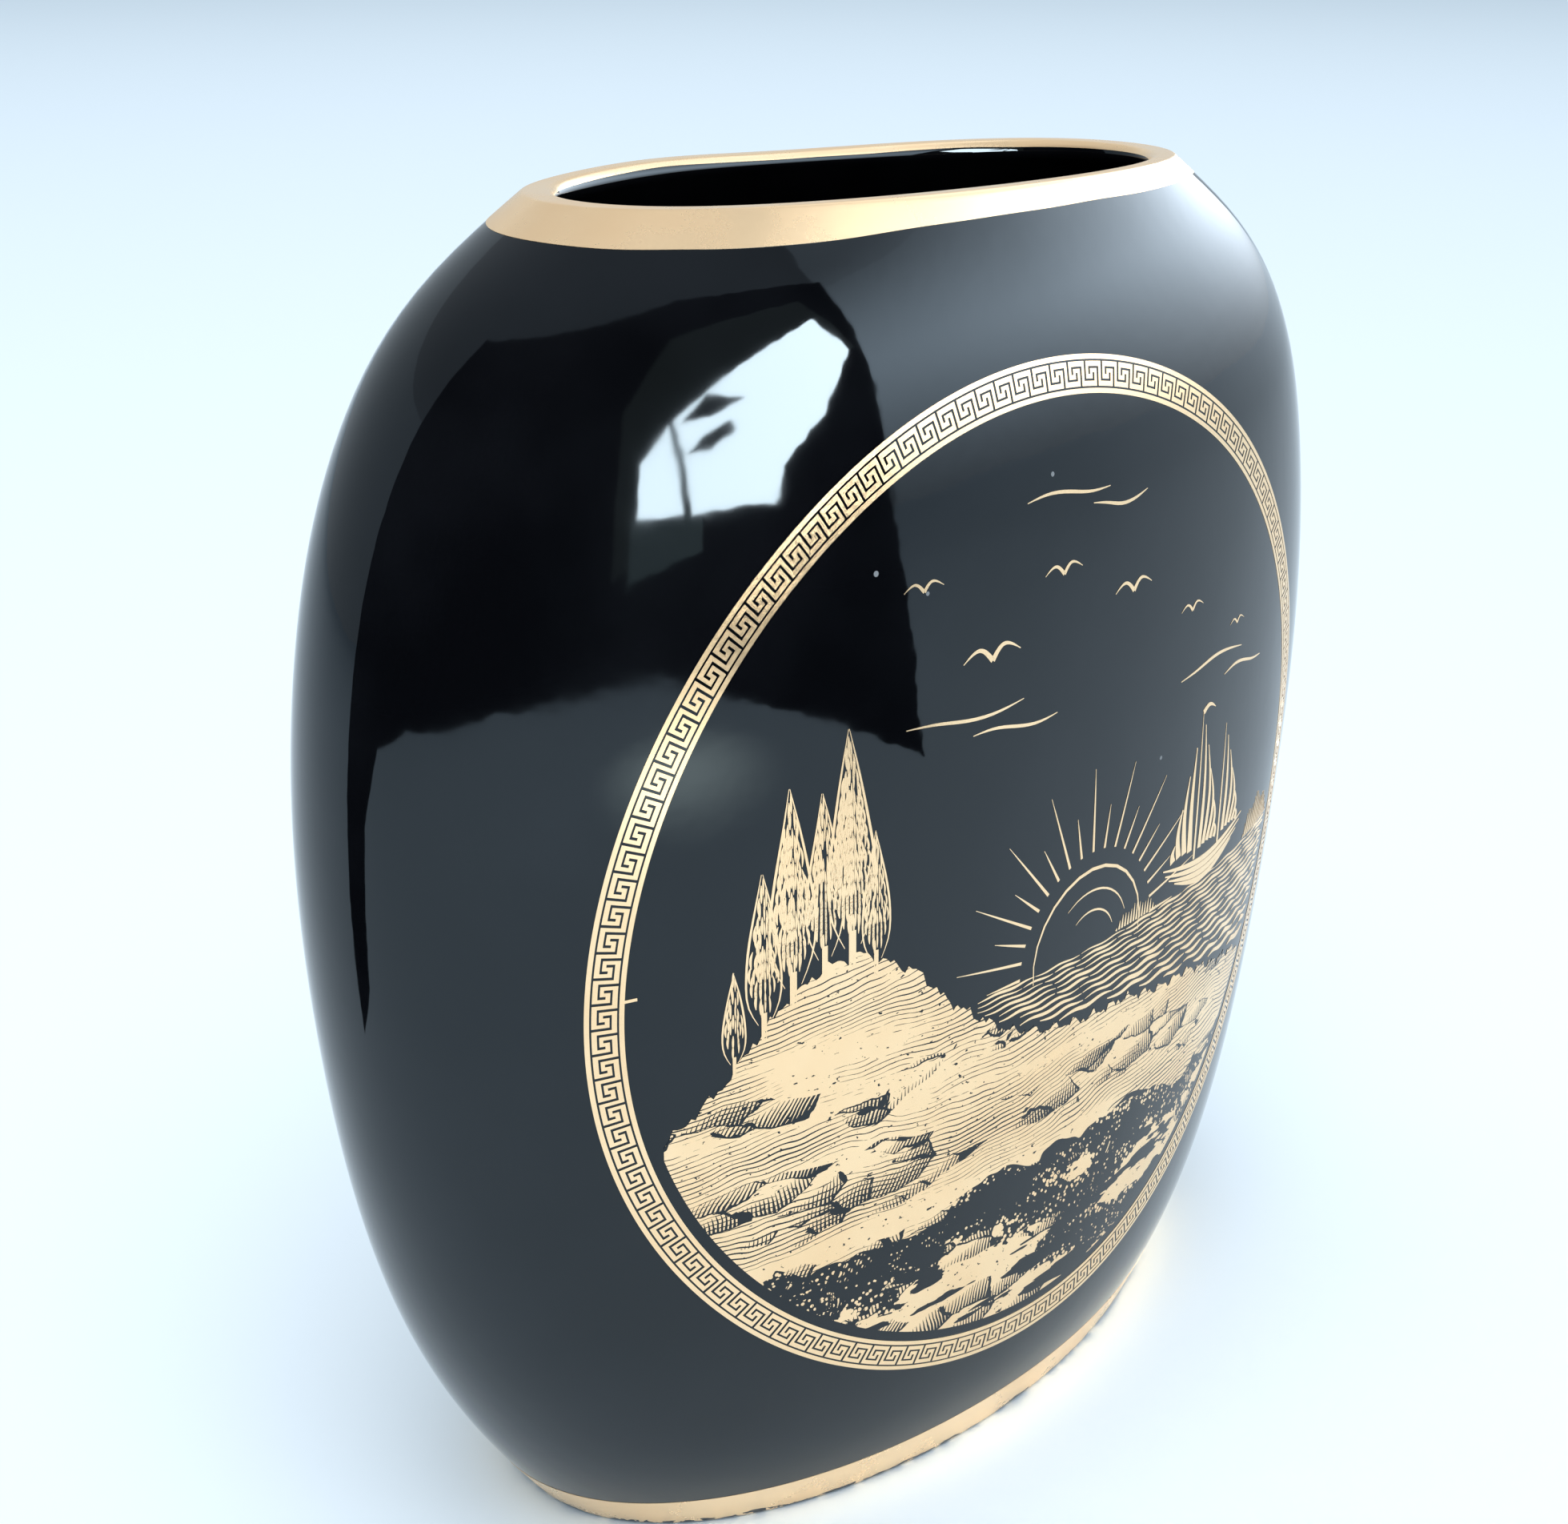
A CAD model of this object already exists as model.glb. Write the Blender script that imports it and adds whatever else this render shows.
import logging
import math
import random
from dataclasses import dataclass, field, replace
from enum import Enum
from typing import Callable, Sequence

import bpy
import numpy as np
from mathutils import Matrix, Vector


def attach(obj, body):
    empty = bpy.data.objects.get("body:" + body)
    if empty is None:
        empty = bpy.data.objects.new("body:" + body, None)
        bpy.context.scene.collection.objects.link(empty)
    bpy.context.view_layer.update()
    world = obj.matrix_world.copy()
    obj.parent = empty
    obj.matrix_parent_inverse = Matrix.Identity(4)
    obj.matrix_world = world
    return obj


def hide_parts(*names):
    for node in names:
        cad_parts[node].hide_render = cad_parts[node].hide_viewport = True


# Flat oval vase with a slot mouth, black glaze, gilded lip and foot, and a round
# medallion in a Greek key border. Lengths are in metres, in the frame of the
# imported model: X along the width, the medallion faces -Y, Z up.

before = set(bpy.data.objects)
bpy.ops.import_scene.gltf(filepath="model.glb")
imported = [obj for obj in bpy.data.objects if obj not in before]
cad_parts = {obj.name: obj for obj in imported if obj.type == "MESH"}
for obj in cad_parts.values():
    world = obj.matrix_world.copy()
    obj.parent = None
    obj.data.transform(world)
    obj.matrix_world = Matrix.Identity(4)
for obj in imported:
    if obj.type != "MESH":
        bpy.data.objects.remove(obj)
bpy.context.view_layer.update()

LOG = logging.getLogger("oval_vase")
MM = 0.001
ROOT = "root"
FILM = 0.08 * MM
FILM_LIFT = 0.05 * MM

Array = np.ndarray
Piece = bpy.types.Object
Socket = bpy.types.NodeSocket
Material = bpy.types.Material


def unit(rows: Array) -> Array:
    """Rows brought to length 1."""
    return rows / np.linalg.norm(rows, axis=-1, keepdims=True)


def eased(share: Array, start: float) -> Array:
    """A smooth rise from 0 at the start to 1 at a share of 1."""
    way = np.clip((share - start) / (1 - start), 0, 1)
    return way * way * (3 - 2 * way)


def polar(radius: Array | float, turn: Array | float) -> Array:
    """Flat points at given distances and angles from the middle."""
    return np.asarray(radius)[..., None] * np.stack([np.cos(turn), np.sin(turn)], axis=-1)


def to_front(point: Vector) -> Vector:
    """The way that the medallion faces, the same at every point."""
    return Vector((0, -1, 0))


class Bench:
    """The modelling moves that every piece is made with."""

    @staticmethod
    def clear() -> None:
        """Leaves edit mode and deselects everything."""
        if bpy.context.object and bpy.context.object.mode != "OBJECT":
            bpy.ops.object.mode_set(mode="OBJECT")
        bpy.ops.object.select_all(action="DESELECT")

    @staticmethod
    def pick(piece: Piece) -> None:
        """Makes one piece the only selected and the active one.

        Args:
            piece: The object to work on.
        """
        Bench.clear()
        piece.select_set(True)
        bpy.context.view_layer.objects.active = piece

    @staticmethod
    def edit(piece: Piece, element: str = "VERT") -> None:
        """Opens a piece for editing with all of it selected.

        Args:
            piece: The object to open.
            element: What is picked: VERT, EDGE or FACE.
        """
        Bench.pick(piece)
        bpy.ops.object.mode_set(mode="EDIT")
        bpy.ops.mesh.select_mode(type=element)
        bpy.ops.mesh.select_all(action="SELECT")

    @staticmethod
    def started(name: str) -> Piece:
        """Names the primitive that was just added.

        Args:
            name: The piece's name.

        Returns:
            The new object.
        """
        piece = bpy.context.object
        piece.name = name
        piece.data.name = name
        return piece

    @staticmethod
    def points(piece: Piece) -> Array:
        """All vertices of a piece as rows.

        Args:
            piece: A mesh object in object mode.

        Returns:
            An array with one row for each vertex.
        """
        rows = np.zeros(len(piece.data.vertices) * 3)
        piece.data.vertices.foreach_get("co", rows)
        return rows.reshape(-1, 3)

    @staticmethod
    def move_points(piece: Piece, rows: Array) -> None:
        """Puts every vertex of a piece at its new place, with one row for each."""
        piece.data.vertices.foreach_set("co", np.ascontiguousarray(rows, dtype=float).ravel())
        piece.data.update()

    @staticmethod
    def tube(name: str, rings: Sequence[Array], capped: bool) -> Piece:
        """A circle extruded ring by ring, each ring then trued up to its points.

        Args:
            name: The piece's name.
            rings: Points of each ring, all with the same count, a multiple of 4.
            capped: Whether both ends are closed to a middle point.

        Returns:
            The new object.
        """
        count = len(rings[0])
        Bench.clear()
        bpy.ops.mesh.primitive_circle_add(vertices=count, radius=1.0, fill_type="NOTHING")
        piece = Bench.started(name)
        Bench.edit(piece, "EDGE")
        for _ in rings[1:]:
            bpy.ops.mesh.extrude_edges_move(TRANSFORM_OT_translate={"value": (0.0, 0.0, 1.0)})
        bpy.ops.object.mode_set(mode="OBJECT")
        rows = Bench.points(piece)
        level = np.rint(rows[:, 2]).astype(int)
        turn = np.arctan2(rows[:, 1], rows[:, 0]) / (2 * math.pi)
        column = np.rint(turn * count).astype(int) % count
        Bench.move_points(piece, np.asarray(rings)[level, column])
        if capped:
            Bench.poke_caps(piece)
        return piece

    @staticmethod
    def poke_caps(piece: Piece) -> None:
        """Closes each end of a tube to one middle point.

        Args:
            piece: The tube.
        """
        Bench.edit(piece, "EDGE")
        bpy.ops.mesh.fill_holes(sides=0)
        bpy.ops.mesh.select_all(action="DESELECT")
        bpy.ops.mesh.select_face_by_sides(number=4, type="GREATER")
        bpy.ops.mesh.poke()
        bpy.ops.object.mode_set(mode="OBJECT")

    @staticmethod
    def smooth(piece: Piece, angle: float) -> None:
        """Shades a piece smooth but for edges bent more than an angle in degrees."""
        Bench.pick(piece)
        bpy.ops.object.shade_smooth_by_angle(angle=math.radians(angle))

    @staticmethod
    def film(piece: Piece, outwards: Callable[[Vector], Vector], angle: float) -> Piece:
        """Makes a gold film of a sheet, turned outwards and thickened behind its faces.

        Args:
            piece: The sheet.
            outwards: Gives the wanted direction at a point.
            angle: The largest bend that is shaded smooth, in degrees.

        Returns:
            The same piece.
        """
        faces = piece.data.polygons
        if sum(face.area * face.normal.dot(outwards(face.center)) for face in faces) < 0:
            Bench.edit(piece, "FACE")
            bpy.ops.mesh.flip_normals()
            bpy.ops.object.mode_set(mode="OBJECT")
        Bench.pick(piece)
        solid = piece.modifiers.new("thickness", "SOLIDIFY")
        solid.thickness = FILM
        solid.offset = -1.0
        bpy.ops.object.modifier_apply(modifier=solid.name)
        Bench.smooth(piece, angle)
        return piece


class SmoothCurve:
    """A natural cubic spline through stations."""

    def __init__(self, places: Sequence[float], values: Sequence[float]) -> None:
        """Solves the spline's second derivatives.

        Args:
            places: Rising positions of the stations.
            values: The value at each station.
        """
        self.places = np.asarray(places, dtype=float)
        self.values = np.asarray(values, dtype=float)
        count = len(self.places)
        step = np.diff(self.places)
        matrix = np.eye(count)
        right = np.zeros(count)
        for row in range(1, count - 1):
            matrix[row, row - 1 : row + 2] = step[row - 1], 2 * (step[row - 1] + step[row]), step[row]
            rise = np.diff(self.values[row - 1 : row + 2]) / step[row - 1 : row + 1]
            right[row] = 6 * (rise[1] - rise[0])
        self.bend = np.linalg.solve(matrix, right)

    def __call__(self, place: Array) -> Array:
        """The curve's value at any places.

        Args:
            place: One or more positions.

        Returns:
            The values there.
        """
        place = np.asarray(place, dtype=float)
        low = np.clip(np.searchsorted(self.places, place) - 1, 0, len(self.places) - 2)
        step = self.places[low + 1] - self.places[low]
        up = (place - self.places[low]) / step
        down = 1 - up
        curve = down * self.values[low] + up * self.values[low + 1]
        curve += ((down**3 - down) * self.bend[low] + (up**3 - up) * self.bend[low + 1]) * step**2 / 6
        return curve


@dataclass(frozen=True)
class Oval:
    """The vase's wall as a form: half sizes at every height, outside and inside."""

    height: float = 200 * MM
    foot: tuple[float, float] = (68.9 * MM, 37.1 * MM)
    belly: tuple[float, float] = (98.4 * MM, 43.3 * MM)
    mouth: tuple[float, float] = (58.45 * MM, 23.5 * MM)
    wall: float = 4 * MM
    mouth_end_wall: float = 2.2 * MM
    mouth_end_start_share: float = 0.84
    round_over_share: float = 0.5
    station_shares: tuple[float, ...] = (0, 0.06, 0.16, 0.30, 0.45, 0.60, 0.75, 0.87, 0.955, 1)
    width_shares: tuple[float, ...] = (0, 0.25, 0.573, 0.84, 0.973, 1, 0.911, 0.70, 0.335, 0)
    depth_shares: tuple[float, ...] = (0, 0.60, 1, 0.98, 0.934, 0.871, 0.731, 0.528, 0.238, 0)
    rim_sway: float = 1.0 * MM
    rim_wave: float = 0.8 * MM
    rim_wave_middle: float = -26 * MM
    rim_wave_reach: float = 22 * MM
    rim_sway_start_share: float = 0.80
    nudge: float = 0.1 * MM
    halvings: int = 40
    curves: dict = field(default_factory=dict, repr=False)

    def stations(self, axis: int) -> Array:
        """Half sizes at the stations.

        Args:
            axis: 0 for the width, 1 for the depth.

        Returns:
            One half size for each station.
        """
        shares = (self.width_shares, self.depth_shares)[axis]
        peak = shares.index(1)
        ends = [self.foot[axis] if number <= peak else self.mouth[axis] for number in range(len(shares))]
        return np.array([end + (self.belly[axis] - end) * share for end, share in zip(ends, shares)])

    def half_size(self, axis: int, height: Array, inside: bool = False) -> Array:
        """Half the width or depth at any heights.

        Args:
            axis: 0 for the width, 1 for the depth.
            height: One or more heights.
            inside: Whether the cavity is meant.

        Returns:
            The half sizes.
        """
        if (axis, inside) not in self.curves:
            heights = np.array(self.station_shares) * self.height
            sizes = self.stations(axis)
            if inside:
                last = len(sizes) - 1
                below = np.maximum(np.arange(last + 1) - 1, 0)
                above = np.minimum(np.arange(last + 1) + 1, last)
                lean = (sizes[above] - sizes[below]) / (heights[above] - heights[below])
                sizes = sizes - self.wall * np.hypot(1, lean)
            self.curves[axis, inside] = SmoothCurve(heights, sizes)
        size = self.curves[axis, inside](height)
        if inside and axis == 0:
            size = size - self.mouth_end_wall * eased(height / self.height, self.mouth_end_start_share)
        return size

    def at(self, turn: Array, height: Array, inside: bool = False) -> Array:
        """Points on the wall.

        Args:
            turn: Angles round the oval.
            height: Heights above the foot, before the rim's sway.
            inside: Whether the cavity is meant.

        Returns:
            Points as the last axis of an array.
        """
        turn, height = np.broadcast_arrays(np.asarray(turn, float), np.asarray(height, float))
        wide = self.half_size(0, height, inside)
        deep = self.half_size(1, height, inside)
        over = deep * self.round_over_share * height / self.height
        out_x = (deep - over) * np.cos(turn)
        out_y = (wide - over) * np.sin(turn)
        length = np.hypot(out_x, out_y)
        x = (wide - over) * np.cos(turn) + over * out_x / length
        y = (deep - over) * np.sin(turn) + over * out_y / length
        return np.stack([x, y, height], axis=-1)

    def swayed(self, points: Array) -> Array:
        """Points with the hand-finished rim's slight lean laid on them.

        Args:
            points: Points as the last axis of an array.

        Returns:
            The moved points.
        """
        moved = np.array(points, dtype=float)
        lean = self.rim_sway * moved[..., 0] / self.mouth[0]
        behind = np.clip(moved[..., 1] / self.mouth[1], 0, 1)
        hump = np.exp(-(((moved[..., 0] - self.rim_wave_middle) / self.rim_wave_reach) ** 2))
        way = eased(moved[..., 2] / self.height, self.rim_sway_start_share)
        moved[..., 2] += way * (self.rim_wave * behind * hump - lean)
        return moved

    def front_turn(self, across: Array, height: Array) -> Array:
        """The angle round the oval of a point on the front face.

        Args:
            across: How far the point lies along X.
            height: Its height.

        Returns:
            The angles, from minus pi at the left to 0 at the right.
        """
        low = np.full(np.shape(across), -math.pi)
        high = np.zeros(np.shape(across))
        for _ in range(self.halvings):
            middle = (low + high) / 2
            short = self.at(middle, height)[..., 0] < across
            low = np.where(short, middle, low)
            high = np.where(short, high, middle)
        return (low + high) / 2

    def lifted(self, turn: Array, height: Array) -> Array:
        """Points that stand a film's lift off the outer wall.

        Args:
            turn: Angles round the oval.
            height: Heights above the foot.

        Returns:
            Points as the last axis of an array.
        """
        low = np.clip(height, self.nudge, self.height - self.nudge)
        around = self.at(turn + self.nudge, low) - self.at(turn - self.nudge, low)
        up = self.at(turn, low + self.nudge) - self.at(turn, low - self.nudge)
        return self.swayed(self.at(turn, height) + unit(np.cross(around, up)) * FILM_LIFT)


@dataclass(frozen=True)
class Face:
    """Lays flat drawings on the front of the vase, round the medallion's middle."""

    oval: Oval
    middle: float = 99.8 * MM
    radius: float = 78.6 * MM
    wrap: float = 1.7 * MM

    def lay(self, flat: Array) -> Array:
        """Puts flat points a film's lift off the front face.

        Args:
            flat: Points across and up from the medallion's middle.

        Returns:
            The points in space.
        """
        reach = np.hypot(flat[..., 0], flat[..., 1])
        narrowing = 1 - self.wrap * (reach / self.radius) ** 4 / np.maximum(reach, MM)
        height = self.middle + flat[..., 1]
        return self.oval.lifted(self.oval.front_turn(flat[..., 0] * narrowing, height), height)


class Signal:
    """A number from a node, for sums written as plain expressions."""

    def __init__(self, graph: "Graph", socket: Socket) -> None:
        """Keeps the graph and the socket."""
        self.graph = graph
        self.socket = socket

    def math(self, operation: str, *others: "Signal | float") -> "Signal":
        """The result of one Math node on this number and the others."""
        return self.graph.sum(operation, self, *others)

    def __add__(self, other: "Signal | float") -> "Signal":
        """This plus the other."""
        return self.math("ADD", other)

    def __sub__(self, other: "Signal | float") -> "Signal":
        """This less the other."""
        return self.math("SUBTRACT", other)

    def __rsub__(self, other: float) -> "Signal":
        """The other less this."""
        return self.graph.sum("SUBTRACT", other, self)

    def __mul__(self, other: "Signal | float") -> "Signal":
        """This times the other."""
        return self.math("MULTIPLY", other)

    def __gt__(self, other: "Signal | float") -> "Signal":
        """1 where this is above the other, else 0."""
        return self.math("GREATER_THAN", other)

    def __lt__(self, other: "Signal | float") -> "Signal":
        """1 where this is below the other, else 0."""
        return self.math("LESS_THAN", other)

    def larger(self, other: "Signal | float") -> "Signal":
        """The larger of the two."""
        return self.math("MAXIMUM", other)

    def waves(self, pitch: float) -> "Signal":
        """A sine with one wave to each pitch."""
        return (self * (2 * math.pi / pitch)).math("SINE")

    def step(self, low: float, high: float) -> "Signal":
        """Rises smoothly from 0 at low to 1 at high.

        Args:
            low: Where it is still 0.
            high: Where it has reached 1.

        Returns:
            The eased number.
        """
        inputs = {"Value": self, "From Min": low, "From Max": high, "To Min": 0.0, "To Max": 1.0}
        node = self.graph.node("ShaderNodeMapRange", inputs, interpolation_type="SMOOTHSTEP")
        return Signal(self.graph, node.outputs["Result"])


class Graph:
    """The node tree of one material."""

    def __init__(self, name: str) -> None:
        """Starts an empty material.

        Args:
            name: The material's name.
        """
        self.material = bpy.data.materials.new(name)
        self.material.use_nodes = True
        self.tree = self.material.node_tree
        self.tree.nodes.clear()
        self.place = self.node("ShaderNodeTexCoord", {}).outputs["Object"]

    def node(self, kind: str, inputs: dict, **settings: object) -> bpy.types.Node:
        """Any node, with its settings made before its inputs.

        Args:
            kind: The node's type.
            inputs: Values, sockets or signals, by the input's name or number.
            settings: The node's own properties.

        Returns:
            The node.
        """
        node = self.tree.nodes.new(kind)
        for key, value in settings.items():
            setattr(node, key, value)
        for key, value in inputs.items():
            if isinstance(value, Signal):
                value = value.socket
            if isinstance(value, Socket):
                self.tree.links.new(value, node.inputs[key])
            else:
                node.inputs[key].default_value = value
        return node

    def sum(self, operation: str, *operands: Signal | float) -> Signal:
        """The result of one Math node."""
        node = self.node("ShaderNodeMath", dict(enumerate(operands)), operation=operation)
        return Signal(self, node.outputs["Value"])

    def vectors(self, operation: str, first: Socket, second: Socket | tuple) -> Socket:
        """The result of one Vector Math node."""
        return self.node("ShaderNodeVectorMath", {0: first, 1: second}, operation=operation).outputs[0]

    def parts(self, vector: Socket) -> list[Signal]:
        """The three parts of a vector or a colour."""
        return [Signal(self, part) for part in self.node("ShaderNodeSeparateXYZ", {0: vector}).outputs]

    def axis(self, name: str) -> Signal:
        """The Object coordinate X, Y or Z in metres."""
        return self.parts(self.place)["XYZ".index(name)]

    def stretched(self, *scale: float) -> Socket:
        """Object coordinates with a factor along each axis."""
        return self.node("ShaderNodeMapping", {"Vector": self.place, "Scale": scale}).outputs["Vector"]

    def noise(
        self, scale: float, detail: float = 2.0, vector: Socket | None = None, rough: float = 0.5
    ) -> Signal:
        """Cloudy noise, 0 to 1, with so many clouds to a metre and so many finer layers."""
        inputs = {"Vector": vector or self.place, "Scale": scale, "Detail": detail, "Roughness": rough}
        return Signal(self, self.node("ShaderNodeTexNoise", inputs).outputs["Fac"])

    def cells(self, scale: float, vector: Socket, **settings: object) -> bpy.types.Node:
        """A Voronoi node with so many cells to a unit of its vector."""
        return self.node("ShaderNodeTexVoronoi", {"Vector": vector, "Scale": scale}, **settings)

    def blend(self, factor: Signal, first: Socket | tuple, second: tuple) -> Socket:
        """A colour between two, the first where the factor is 0."""
        return self.node("ShaderNodeMix", {0: factor, 6: first, 7: second}, data_type="RGBA").outputs[2]

    def bump(self, height: Signal, strength: float, distance: float) -> Socket:
        """A normal from a height, where a height of 1 is so many metres."""
        inputs = {"Height": height, "Strength": strength, "Distance": distance}
        return self.node("ShaderNodeBump", inputs).outputs["Normal"]

    def shader(self, inputs: dict) -> Socket:
        """A Principled shader."""
        return self.node("ShaderNodeBsdfPrincipled", inputs).outputs["BSDF"]

    def light(self, colour: tuple, strength: float) -> Socket:
        """An Emission shader."""
        return self.node("ShaderNodeEmission", {"Color": colour, "Strength": strength}).outputs[0]

    def finish(self, shader: Socket) -> Material:
        """The finished material, with the shader on its surface."""
        self.node("ShaderNodeOutputMaterial", {"Surface": shader})
        return self.material

    def mixed(self, factor: Signal, first: Socket, second: Socket) -> Material:
        """The finished material, with the first shader where the factor is 0."""
        return self.finish(self.node("ShaderNodeMixShader", {0: factor, 1: first, 2: second}).outputs[0])


@dataclass(frozen=True)
class BlackGlaze:
    """High-gloss black glaze over pale clay, bare under the foot ring."""

    colour: tuple = (0.0045, 0.005, 0.0065, 1.0)
    deep_colour: tuple = (0.002, 0.0022, 0.003, 1.0)
    tone_noise: tuple = (35.0, 3.0)
    tone_span: tuple = (0.35, 0.7)
    sheen_tint: tuple = (0.80, 0.92, 1.0, 1.0)
    index: float = 1.46
    smoothest: float = 0.03
    smudged: float = 0.10
    smudge_noise: tuple = (22.0, 5.0)
    smudge_span: tuple = (0.48, 0.80)
    ripple_noise: tuple = (26.0, 1.0)
    fine_ripple_noise: tuple = (260.0, 1.0)
    fine_ripple_share: float = 0.04
    ripple_depth: float = 0.9 * MM
    ripple_strength: float = 0.35
    dust_colour: tuple = (0.32, 0.33, 0.34, 1.0)
    dust_cells: float = 120.0
    dust_reach: float = 0.05
    dust_rarity: float = 0.93
    dust_cover: float = 0.55
    dust_roughness: float = 0.4
    clay_colour: tuple = (0.50, 0.43, 0.35, 1.0)
    clay_dark: tuple = (0.33, 0.28, 0.23, 1.0)
    clay_roughness: float = 0.85
    clay_noise: tuple = (900.0, 4.0)
    clay_grain: float = 0.2 * MM
    clay_grain_strength: float = 0.6
    bare_span: tuple = (0.2 * MM, 0.3 * MM)
    bare_noise: tuple = (180.0, 3.0)
    bare_waver: float = 0.25 * MM

    def shader(self, graph: Graph) -> Socket:
        """The glaze's own shader, which gold wears through to.

        Args:
            graph: The material's graph.

        Returns:
            The shader socket.
        """
        tone = graph.noise(*self.tone_noise).step(*self.tone_span)
        smudge = graph.noise(*self.smudge_noise).step(*self.smudge_span)
        cells = graph.cells(self.dust_cells, graph.place)
        chance = graph.parts(cells.outputs["Color"])[0]
        near = Signal(graph, cells.outputs["Distance"]) < chance * self.dust_reach
        speck = near * (chance > self.dust_rarity)
        smooth = smudge * (self.smudged - self.smoothest) + self.smoothest
        fine_ripple = graph.noise(*self.fine_ripple_noise) * self.fine_ripple_share
        ripple = graph.noise(*self.ripple_noise) + fine_ripple
        colour = graph.blend(tone, self.deep_colour, self.colour)
        return graph.shader({
            "Base Color": graph.blend(speck * self.dust_cover, colour, self.dust_colour),
            "Roughness": smooth + speck * self.dust_roughness,
            "Normal": graph.bump(ripple, self.ripple_strength, self.ripple_depth),
            "IOR": self.index,
            "Specular Tint": self.sheen_tint,
        })

    def material(self) -> Material:
        """The finish of the vase's body.

        Returns:
            The material.
        """
        graph = Graph("black_glaze")
        grain = graph.noise(*self.clay_noise)
        clay = graph.shader({
            "Base Color": graph.blend(grain, self.clay_dark, self.clay_colour),
            "Roughness": self.clay_roughness,
            "Normal": graph.bump(grain, self.clay_grain_strength, self.clay_grain),
        })
        edge = graph.axis("Z") + (graph.noise(*self.bare_noise) - 0.5) * self.bare_waver
        bare = 1 - edge.step(*self.bare_span)
        return graph.mixed(bare, self.shader(graph), clay)


@dataclass(frozen=True)
class GoldLustre:
    """Pale fired-on gold that wears through to the glaze in specks."""

    name: str
    glaze: BlackGlaze
    colour: tuple = (0.98, 0.71, 0.43, 1.0)
    dull_colour: tuple = (0.92, 0.64, 0.37, 1.0)
    tone_noise: tuple = (60.0, 4.0)
    tone_span: tuple = (0.3, 0.75)
    polished: float = 0.16
    dulled: float = 0.27
    metal: float = 0.94
    grain: float = 0.03 * MM
    grain_noise: tuple = (1500.0, 3.0)
    grain_strength: float = 0.12
    grain_roughness: float = 0.08
    wear: float = 0.30
    wear_pull: float = 0.30
    wear_limit: float = 0.80
    wear_edge: float = 0.01
    patch_noise: tuple = (75.0, 2.0)
    patch_share: float = 0.45
    grit_noise: tuple = (2300.0, 3.0)
    grit_roughness: float = 0.65
    low_edge: float | None = None
    low_edge_noise: tuple = (140.0, 4.0)
    low_edge_waver: float = 3.4 * MM
    low_edge_fade: float = 0.25 * MM
    rub_noise: tuple = (420.0, 3.0)
    rub_limit: float = 0.44

    def gold(self, graph: Graph) -> Socket:
        """The gold's own shader.

        Args:
            graph: The material's graph.

        Returns:
            The shader socket.
        """
        tone = graph.noise(*self.tone_noise).step(*self.tone_span)
        fine = graph.noise(*self.grain_noise)
        rough = tone * (self.dulled - self.polished) + self.polished
        return graph.shader({
            "Base Color": graph.blend(tone, self.colour, self.dull_colour),
            "Metallic": self.metal,
            "Roughness": rough + (fine - 0.5) * self.grain_roughness,
            "Normal": graph.bump(fine, self.grain_strength, self.grain),
        })

    def bare(self, graph: Graph) -> Signal:
        """Where the gold has worn off.

        Args:
            graph: The material's graph.

        Returns:
            1 on bare glaze, 0 on gold.
        """
        grit = graph.noise(*self.grit_noise, rough=self.grit_roughness)
        specks = graph.noise(*self.patch_noise) * self.patch_share + grit * (1 - self.patch_share)
        limit = self.wear_limit - self.wear * self.wear_pull
        mask = specks.step(limit - self.wear_edge, limit + self.wear_edge)
        if self.low_edge is not None:
            waver = (graph.noise(*self.low_edge_noise) - 0.5) * self.low_edge_waver
            height = graph.axis("Z") + waver
            rubbed = 1 - height.step(self.low_edge, self.low_edge + self.low_edge_fade)
            mask = mask.larger(rubbed * (graph.noise(*self.rub_noise) > self.rub_limit))
        return mask

    def material(self) -> Material:
        """The finish of a gilded piece."""
        graph = Graph(self.name)
        return graph.mixed(self.bare(graph), self.gold(graph), self.glaze.shader(graph))


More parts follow.
